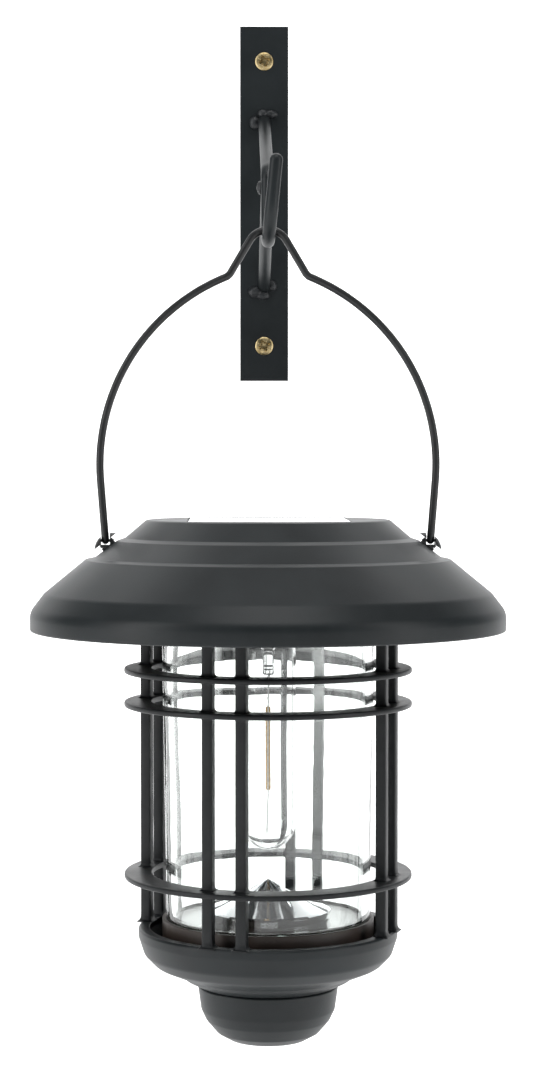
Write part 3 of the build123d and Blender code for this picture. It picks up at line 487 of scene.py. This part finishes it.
def screw(z):
    """A domed, countersunk screw with a cross recess and tick marks, its head towards -Y."""
    sides = 96
    rings = [0.15, 0.4, 0.65, 0.9, 1.15, 1.4, 1.65, 1.9, 2.15, 2.4, 2.65, 2.9, 3.2, 3.45, 3.65, 3.75]
    verts, faces = [(0, -3.0 - 0.1, z)], []
    rows = []
    for r in rings:
        row = []
        dome = -3.0 - 0.95 * math.sqrt(max(0.0, 1 - (r / 3.85) ** 2))
        for k in range(sides):
            a = 2 * math.pi * k / sides + 0.35
            x, h = r * math.cos(a - 0.35), r * math.sin(a - 0.35)
            arm = min(abs(x), abs(h))
            cut = max(0.0, min(1.0, (0.62 - arm) / 0.22)) * max(0.0, min(1.0, (2.3 - r) / 0.3))
            square = max(0.0, min(1.0, (1.15 - max(abs(x), abs(h))) / 0.2))
            depth = max(cut, square) * (0.9 + 0.3 * (1 - min(1.0, r / 2.2)))
            diagonal = min(abs(x - h), abs(x + h)) / math.sqrt(2)
            tick = max(0.0, 1 - diagonal / 0.16) * (1 if 1.6 < r < 3.2 else 0) * 0.14
            row.append(len(verts))
            verts.append((r * math.cos(a), dome + depth + tick, z + r * math.sin(a)))
        rows.append(row)
    for r, y in ((3.75, -2.9), (2.2, -1.4), (2.2, 0.0), (2.0, 0.0), (2.0, 23.0), (0.3, 28.0)):
        row = []
        for k in range(sides):
            a = 2 * math.pi * k / sides + 0.35
            row.append(len(verts))
            verts.append((r * math.cos(a), y, z + r * math.sin(a)))
        rows.append(row)
    for k in range(sides):
        faces.append((0, rows[0][(k + 1) % sides], rows[0][k]))
    for upper, lower in zip(rows, rows[1:]):
        for k in range(sides):
            n = (k + 1) % sides
            faces.append((upper[k], upper[n], lower[n], lower[k]))
    faces.append(tuple(rows[-1]))
    return verts, faces


piece("brass_screws", *merge(screw(59.0), screw(-59.0)), BRASS, "bracket", "brass_screw",
      ["wall_screws"], 28)

# ---------------------------------------------------------------- bail

WIRE_R, LOOP_R, SHOULDER = 1.45, 8.0, 59.4
LOOP_TOP, KINK_R = -19.9, 4.0
BOW_R, BOW_X, BOW_Z = 76.2, 63.4 - 76.2, -108.2
PIVOT = (61.4, -136.75)
turn = math.radians(SHOULDER)
loop_end = (LOOP_R * math.sin(turn), LOOP_TOP - LOOP_R * (1 - math.cos(turn)))
sx = loop_end[0] + KINK_R * math.sin(turn) - BOW_X
sz = loop_end[1] + KINK_R * math.cos(turn) - BOW_Z
dot = sx * math.cos(turn) - sz * math.sin(turn)
run = -dot - math.sqrt(dot ** 2 - sx ** 2 - sz ** 2 + (BOW_R + KINK_R) ** 2)
kink_centre = (sx + run * math.cos(turn) + BOW_X, sz - run * math.sin(turn) + BOW_Z)
kink_turn = math.degrees(math.atan2(kink_centre[1] - BOW_Z, kink_centre[0] - BOW_X))
lx, lz = PIVOT[0] - BOW_X, PIVOT[1] - BOW_Z
end_turn = math.degrees(math.atan2(lz, lx) + math.acos(BOW_R / math.hypot(lx, lz)))
right = arc_points((0, LOOP_TOP - LOOP_R), LOOP_R, 90, 90 - SHOULDER, 10)
right += [(right[-1][0] + run * t * math.cos(turn),
    right[-1][1] - run * t * math.sin(turn)) for t in (0.33, 0.66)]
right += arc_points(kink_centre, KINK_R, 180 + 90 - SHOULDER, 180 + kink_turn, 6)
right += arc_points((BOW_X, BOW_Z), BOW_R, kink_turn - 1, end_turn, 60)
right += [(PIVOT[0] + (right[-1][0] - PIVOT[0]) * t,
    PIVOT[1] + (right[-1][1] - PIVOT[1]) * t) for t in (0.6, 0.3, 0)]
outline = [(-x, z) for x, z in reversed(right[1:])] + right
piece("bail_rod", *tube([(x, -STANDOFF, z) for x, z in outline], WIRE_R, 20, (True, True), 0.02),
      WIRE, "bail", "bail_black", ["bail_wire"], 60)

# ---------------------------------------------------------------- cap

HALF_PANEL = 30.3


def square_ring(half):
    """Radius of a square of that half width, by angle."""
    return lambda angle: half / max(abs(math.cos(angle)), abs(math.sin(angle)))


cap_outside = rounded([
    (43.0, 0), (45.9, 0, 2.4), (53.9, 6.8, 1.5), (56.9, 7.8, 1.1), (65.4, 14.2, 1.5), (68.9, 14.9, 1.1),
    (84.4, 27.6, 8.0), (89.7, 34.5, 7.0), (89.7, 41.5, 2.0), (88.1, 41.5, 0.4), (88.1, 34.9, 6.0),
    (83.2, 28.7, 7.0), (68.4, 16.5), (64.9, 15.8), (56.3, 9.3), (53.3, 8.3), (45.4, 1.8)
], 8)
cap_rings = [(0, 3.0), (square_ring(HALF_PANEL), 3.0), (square_ring(HALF_PANEL), 0.25),
             (square_ring(HALF_PANEL + 0.25), 0.0)]
cap_rings += cap_outside
cap_rings += [(44.0, 4.6), (square_ring(28.0), 4.6), (0, 4.6)]
piece("cap_spinning", *lathe(cap_rings, 192), POWDER, "head", "powder_black", ["cap_shell"], 40)

# ---------------------------------------------------------------- cage

BAR_HALF, BAR_AT, PAIR_OFFSET, PAIR_TURN = 2.0, 47.3, 6.45, -20.3
RING_DEPTHS = {"upper_ring": 56.6, "middle_ring": 69.3, "lower_ring": 134.1}
BAR_TOP, BOWL_TOP = 41.8, 153.9

for name, depth in RING_DEPTHS.items():
    profile = rounded([(49, depth - 1), (54.4, depth - 1, 0.75), (54.4, depth + 1, 0.75),
                       (44.0, depth + 1, 0.5), (44.0, depth - 1, 0.5), (49, depth - 1)], 5)[:-1]
    piece(name + "_hoop", *lathe(profile, SEGMENTS, closed=True), COARSE, "head", "powder_black",
        [name], 40)

flange = rounded([(47, 39.4), (52, 39.4, 0.3), (52, 41.8, 0.8), (42.6, 41.8, 0.3), (42.6, 39.4,
    0.2), (47, 39.4)], 4)[:-1]
piece("cage_top_ring", *lathe(flange, SEGMENTS, closed=True), COARSE, "head", "powder_black",
    ["cage_flange"], 40)


def flare(depth):
    """How far a bar's skin stands out near a ring, the flange or the bowl."""
    out = 0.0
    for at, half, size, sides in [(BAR_TOP, 0, 1.5, 1), (BOWL_TOP, 0, 2.2, -1)] + [
        (d, 1.0, 1.3, 0) for d in RING_DEPTHS.values()
    ]:
        for way in (-1, 1):
            if sides and way != sides:
                continue
            gap = (depth - at) * way - half
            if -1.1 < gap < size:
                t = max(0.0, gap) / size
                strength = 1.15 if way < 0 or sides else 0.6
                out = max(out, strength * (1 - math.sqrt(max(0.0, 1 - (1 - t) ** 2))))
    return out


def bar(x, y, turn_deg, seed):
    """One square bar with softened edges and flared feet, lightly uneven as hand-welded ones are."""
    depths = {BAR_TOP, BOWL_TOP + 0.4}
    for at, half in [(BAR_TOP, 0), (BOWL_TOP, 0)] + [(d, 1.0) for d in RING_DEPTHS.values()]:
        for k in range(8):
            for way in (-1, 1):
                depths.add(at + way * (half + 0.04 + k * 0.3))
    d = BAR_TOP
    while d < BOWL_TOP:
        depths.add(d)
        d += 4.0
    depths = sorted(d for d in depths if BAR_TOP <= d <= BOWL_TOP + 0.4)
    corner, steps = 0.65, 4
    turn = math.radians(turn_deg)
    verts, faces, rows = [], [], []
    for d in depths:
        half = BAR_HALF + flare(d)
        row = []
        for qx, qy, begin in ((1, 1, 0), (-1, 1, 90), (-1, -1, 180), (1, -1, 270)):
            for k in range(steps + 1):
                a = math.radians(begin + 90 * k / steps)
                px = qx * (half - corner) + corner * math.cos(a)
                py = qy * (half - corner) + corner * math.sin(a)
                push = 1 + 0.018 * noise.noise(Vector((seed * 3 + a, d * 0.12, 0)))
                px, py = px * push, py * push
                row.append(len(verts))
                verts.append((x + px * math.cos(turn) - py * math.sin(turn),
                              y + px * math.sin(turn) + py * math.cos(turn), CAP_TOP - d))
        rows.append(row)
    count = len(rows[0])
    for upper, lower in zip(rows, rows[1:]):
        for k in range(count):
            n = (k + 1) % count
            faces.append((upper[k], lower[k], lower[n], upper[n]))
    faces.append(tuple(rows[0]))
    faces.append(tuple(reversed(rows[-1])))
    return verts, faces


reach = math.sqrt(BAR_AT ** 2 - PAIR_OFFSET ** 2)
number = 0
for quarter in range(4):
    way = math.radians(PAIR_TURN + 90 * quarter)
    for across in (-PAIR_OFFSET, PAIR_OFFSET):
        number += 1
        x = reach * math.sin(way) + across * math.cos(way)
        y = -STANDOFF - reach * math.cos(way) + across * math.sin(way)
        piece(f"bar_{number}", *bar(x, y, PAIR_TURN + 90 * quarter, number), COARSE, "head",
              "powder_black", [f"cage_bar_{number}"], 34)

# ---------------------------------------------------------------- bowl, collar, finial

bowl = rounded([
    (46.5, 153.9), (48.6, 153.9, 0.5), (49.1, 154.6, 0.5), (49.1, 157.5, 3.0), (47.0, 163.9, 4.0),
    (43.0, 168.0, 5.0), (34.0, 171.8, 2.0), (31.5, 173.6, 1.0), (26.7, 176.0, 0.5), (20.0, 176.0),
    (20.0, 184.0, 0.4), (17.8, 184.0, 0.4), (17.8, 176.0), (0, 176.0), (0, 172.8), (26.0, 172.8, 2),
    (34.0, 169.0, 0.5), (34.0, 160.0, 0.3), (38.0, 160.0, 0.3), (38.0, 167.3, 0.5), (41.2, 165.9, 2),
    (44.6, 162.6, 3), (46.2, 157.0, 2), (44.6, 153.9, 0.5), (46.5, 153.9)
], 6)[:-1]
bowl_verts, bowl_faces = lathe(bowl, SEGMENTS, closed=True)
lugs = []
for side in (-1, 1):
    corners = [(side * a, b, c) for a in (18.0, 22.2) for b in (-2.5, 2.5) for c in (180.0, 182.4)]
    box = [(x, y - STANDOFF, CAP_TOP - d) for x, y, d in corners]
    lugs.append((box, [(0, 1, 3, 2), (4, 6, 7, 5), (0, 4, 5, 1), (2, 3, 7, 6), (0, 2, 6, 4), (1, 5, 7, 3)]))
piece("bowl_casting", *merge((bowl_verts, bowl_faces), *lugs), POWDER, "head", "powder_black",
    ["base_bowl"], 38)

collar = rounded([
    (39.4, 150.5), (40.1, 150.5, 0.35), (40.1, 160.0, 0.3), (33.0, 160.0), (33.0, 157.0), (0, 157.0),
    (0, 155.02), (38.72, 155.02), (38.72, 150.5, 0.25), (39.4, 150.5)
], 4)[:-1]
piece("collar_cup", *lathe(collar, SEGMENTS, closed=True), COLLAR, "head", "brown_collar",
    ["jar_collar"], 38)

finial = rounded([
    (22.0, 176.3), (26.2, 176.3, 0.3), (26.6, 176.8, 0.5), (25.4, 185.4, 4.0), (23.5, 189.4, 4.0),
    (19.4, 194.2, 3.0), (14.8, 196.8, 2.0), (8.0, 197.7, 2.0), (0, 197.7)
], 6)
finial_inside = [(0, 194.5), (12.5, 193.2), (17.0, 188.5), (17.0, 185.0), (20.3, 185.0), (20.3, 182.7),
                 (22.9, 182.7), (22.9, 179.7), (20.3, 179.7), (20.3, 176.5), (20.5, 176.3)]
piece("finial_turning", *lathe(finial + finial_inside, SEGMENTS, closed=True), POWDER, "finial",
      "powder_black", ["finial_cup"], 38)

# ---------------------------------------------------------------- jar and reflector

jar = rounded([
    (38.7, 42.0), (40.2, 42.0, 0.9), (38.52, 155.0, 1.8), (20, 155.0), (0, 155.0)
], 5)
jar_inside = rounded([(0, 150.8), (20, 150.8), (35.5, 150.8, 1.5), (37.2, 42.0, 0.9), (38.7, 42.0)], 5)[:-1]


def stretched(points, pieces=12):
    """Long walls cut into shorter ones so that the glass can vary along its height."""
    out = [points[0]]
    for a, b in zip(points, points[1:]):
        if abs(b[1] - a[1]) > 30:
            out += [(a[0] + (b[0] - a[0]) * k / pieces,
                a[1] + (b[1] - a[1]) * k / pieces) for k in range(1, pieces)]
        out.append(b)
    return out


jar_verts, jar_faces = lathe(stretched(jar) + stretched(jar_inside), SEGMENTS, closed=True)
uneven = []
for x, y, z in jar_verts:
    radius = math.hypot(x, y + STANDOFF)
    if 20 < radius < 39.9 and -280 < z < -172:
        inner = radius < 38
        swing = noise.noise(Vector((x * 0.05, y * 0.05,
            z * 0.02 + (9 if inner else 0)))) * (0.16 if inner else 0.05)
        scale = (radius + swing) / radius
        x, y = x * scale, -STANDOFF + (y + STANDOFF) * scale
    uneven.append((x, y, z))
piece("jar_wall", uneven, jar_faces, JAR_GLASS, "head", "jar_glass", ["glass_jar"], 50)

FACETS = 24
cone = [(0.0, 136.1), (1.2, 136.7), (6.0, 139.6), (12.0, 142.9), (18.0, 145.5), (23.2, 147.3),
    (24.0, 147.7),
        (24.0, 148.4), (23.0, 150.75), (0.0, 150.75)]


def fluted(radius):
    """A ring whose radius dips between facets."""
    return lambda angle: radius / math.cos(((angle + math.pi / FACETS) % (2 * math.pi / FACETS)) - math.pi / FACETS) * math.cos(math.pi / FACETS)


piece("mirror_cone", *lathe([(r if r == 0 else fluted(r), d) for r, d in cone], FACETS * 2), MIRROR, "head",
      "reflector_chrome", ["reflector"], 6)

# ---------------------------------------------------------------- bulb

BULB_R, BULB_WALL, BULB_TOP, BULB_END, NECK_R = 10.6, 0.8, 46.0, 124.9, 9.4
shell = [(NECK_R, BULB_TOP), (NECK_R + 0.25, BULB_TOP + 1.5), (BULB_R - 0.2, BULB_TOP + 4.0), (BULB_R, BULB_TOP + 6.5)]
shell += [(BULB_R, BULB_TOP + 6.5 + 10 * k) for k in range(1, 6)]
centre_depth = BULB_END - BULB_R
for k in range(15):
    a = math.pi / 2 * k / 14
    shell.append((BULB_R * math.cos(a) if k < 14 else 0.0, centre_depth + BULB_R * math.sin(a)))
inner_r = BULB_R - BULB_WALL
lining = []
for k in range(14, -1, -1):
    a = math.pi / 2 * k / 14
    lining.append((inner_r * math.cos(a) if k < 14 else 0.0, centre_depth + inner_r * math.sin(a)))
lining += [(inner_r, BULB_TOP + 6.5 + 10 * k) for k in range(5, -1, -1)]
lining += [(BULB_R - 0.2 - BULB_WALL, BULB_TOP + 4.0), (NECK_R - BULB_WALL, BULB_TOP)]
piece("bulb_bottle", *lathe(shell + lining, 72, closed=True), BULB_GLASS, "head", "bulb_glass",
      ["bulb_envelope"], 50)


def pinch(radius, flat):
    """A ring squeezed flat along Y, as a bulb's glass stem is."""
    return lambda a: radius * flat / math.sqrt((flat * math.cos(a)) ** 2 + math.sin(a) ** 2)


stem = [(0, 46.02), (4.9, 46.02), (4.2, 47.5), (pinch(3.1, 0.85), 49.0), (pinch(2.5, 0.7), 51.0),
        (pinch(2.2, 0.55), 53.5), (pinch(2.1, 0.5), 56.0), (pinch(2.15, 0.5), 58.0), (pinch(1.7, 0.45), 58.6),
        (0, 58.6)]
piece("bulb_pinch", *lathe(stem, 40), BULB_GLASS, "head", "bulb_glass", ["bulb_stem"], 50)


def strip(x, y, top, bottom, half_width, half_thick):
    """A flat rod with rounded long edges, from top depth to bottom depth."""
    outline = []
    for qx, begin in ((1, -90), (-1, 90)):
        for k in range(7):
            a = math.radians(begin + 180 * k / 6)
            outline.append((qx * (half_width - half_thick) + half_thick * math.cos(a), half_thick * math.sin(a)))
    verts, faces, rows = [], [], []
    for inset, depth in ((0.35, top), (0.0, top + 0.4), (0.0, bottom - 0.4), (0.35, bottom)):
        row = []
        for px, py in outline:
            row.append(len(verts))
            verts.append((x + px * (1 - inset), -STANDOFF + y + py * (1 - inset), CAP_TOP - depth))
        rows.append(row)
    count = len(outline)
    for upper, lower in zip(rows, rows[1:]):
        for k in range(count):
            n = (k + 1) % count
            faces.append((upper[k], lower[k], lower[n], upper[n]))
    faces.append(tuple(rows[0]))
    faces.append(tuple(reversed(rows[-1])))
    return verts, faces


piece("filament_strip", *strip(0, 0, 70.7, 102.4, 0.95, 0.75), PHOSPHOR, "head", "filament",
      ["led_filament"], 50)


def lamp_wire(route, radius):
    """A thin wire through points given as (x, y, depth) about the lantern's axis."""
    return tube([(x, y - STANDOFF, CAP_TOP - d) for x, y, d in route], radius, 10)


crimps = [(0.14 * math.sin(k * 1.9), 0.14 * math.cos(k * 1.9), 58.0 + 0.6 * k) for k in range(13)]
hanger = crimps + [(0.2, 0.1, 66.6), (-0.15, 0, 67.6), (0.2, 0, 68.8), (0, 0, 70.0), (0, 0, 71.2)]
loop = [(0.6, -0.4, 57.0), (0.5, -1.2, 60.0), (0.1, -1.75, 64.0), (0.0, -1.8, 72.0), (-0.05, -1.8, 90.0),
        (-0.1, -1.8, 104.0), (-0.35, -1.6, 112.0), (-0.5, -1.1, 117.0), (-0.5, -0.3, 118.6), (-0.4, 0.3, 117.2),
        (-0.2, 0.3, 111.0), (0, 0.1, 104.5), (0, 0, 101.8)]
piece("filament_leads", *merge(lamp_wire(hanger, 0.24), lamp_wire(loop, 0.22)), STEEL, "head", "steel",
      ["filament_wires"], 60)

# ---------------------------------------------------------------- room, lights and camera

def stage_material(name, colour, glow):
    """Pale paper: barely mottled, a little of its own light."""
    mat = finish(name, colour, rough=0.9, mottle=0.01, mottle_scale=6, grain_scale=300, grain_bump=0.02)
    shader = mat.node_tree.nodes["Principled BSDF"]
    shader.inputs["Emission Color"].default_value = (1, 1, 1, 1)
    shader.inputs["Emission Strength"].default_value = glow
    return mat


# the wall stands behind every camera that looks at the object from the back
FLOOR_Z, SWEEP_R, WALL_Y, PAPER_HALF, PAPER_TOP = -0.36, 0.6, 3.6, 4.0, 3.6
sweep_profile = [(-PAPER_HALF, FLOOR_Z)]
for k in range(13):
    a = math.radians(90 * k / 12)
    sweep_profile.append((WALL_Y - SWEEP_R * (1 - math.sin(a)), FLOOR_Z + SWEEP_R * (1 - math.cos(a))))
sweep_profile.append((WALL_Y, PAPER_TOP))
verts = [(x, y, z) for y, z in sweep_profile for x in (-PAPER_HALF, PAPER_HALF)]
faces = [(2 * k, 2 * k + 1, 2 * k + 3, 2 * k + 2) for k in range(len(sweep_profile) - 1)]
mesh = bpy.data.meshes.new("paper_sweep")
mesh.from_pydata(verts, [], faces)
for poly in mesh.polygons:
    poly.use_smooth = True
mesh.materials.append(stage_material("pale_paper", (0.9, 0.9, 0.9), 0.62))
paper = bpy.data.objects.new("paper_sweep", mesh)
bpy.context.scene.collection.objects.link(paper)

bpy.context.scene.view_settings.view_transform = "Standard"
world = bpy.data.worlds.new("studio")
bpy.context.scene.world = world
world.use_nodes = True
world.node_tree.nodes["Background"].inputs["Color"].default_value = (0.82, 0.92, 1.0, 1)
world.node_tree.nodes["Background"].inputs["Strength"].default_value = 0.1


def softbox(name, place, aim, width, height, power, colour=(1, 1, 1)):
    """A soft rectangular light at a place, facing a point."""
    data = bpy.data.lights.new(name, "AREA")
    data.shape = "RECTANGLE"
    data.size, data.size_y = width, height
    data.energy = power
    data.color = colour
    obj = bpy.data.objects.new(name, data)
    obj.location = place
    obj.rotation_euler = (Vector(aim) - Vector(place)).to_track_quat("-Z", "Y").to_euler()
    bpy.context.scene.collection.objects.link(obj)
    return obj


TARGET = (0, -0.1, -0.2)
softbox("left_box", (-1.3, -0.7, 0.3), TARGET, 0.5, 1.4, 9)
softbox("right_box", (1.3, -0.7, 0.3), TARGET, 0.5, 1.4, 6)
softbox("top_box", (0.0, -0.7, 1.4), TARGET, 1.2, 1.0, 12)
softbox("back_glow", (0.0, 1.5, 1.9), (0, 2.9, -0.3), 3.0, 1.6, 70)

camera_data = bpy.data.cameras.new("camera")
camera = bpy.data.objects.new("camera", camera_data)
bpy.context.scene.collection.objects.link(camera)
bpy.context.scene.camera = camera
SENSOR, FOCAL_PIXELS, LONG_SIDE_PIXELS = 36.0, 2395, 1072
camera_data.sensor_width = SENSOR
camera_data.lens = SENSOR * FOCAL_PIXELS / LONG_SIDE_PIXELS
camera_data.clip_start = 0.01
camera.location = (-0.0152, -1.004, -0.1056)
camera.rotation_euler = (math.radians(90 - 1.87), 0, -0.01614)
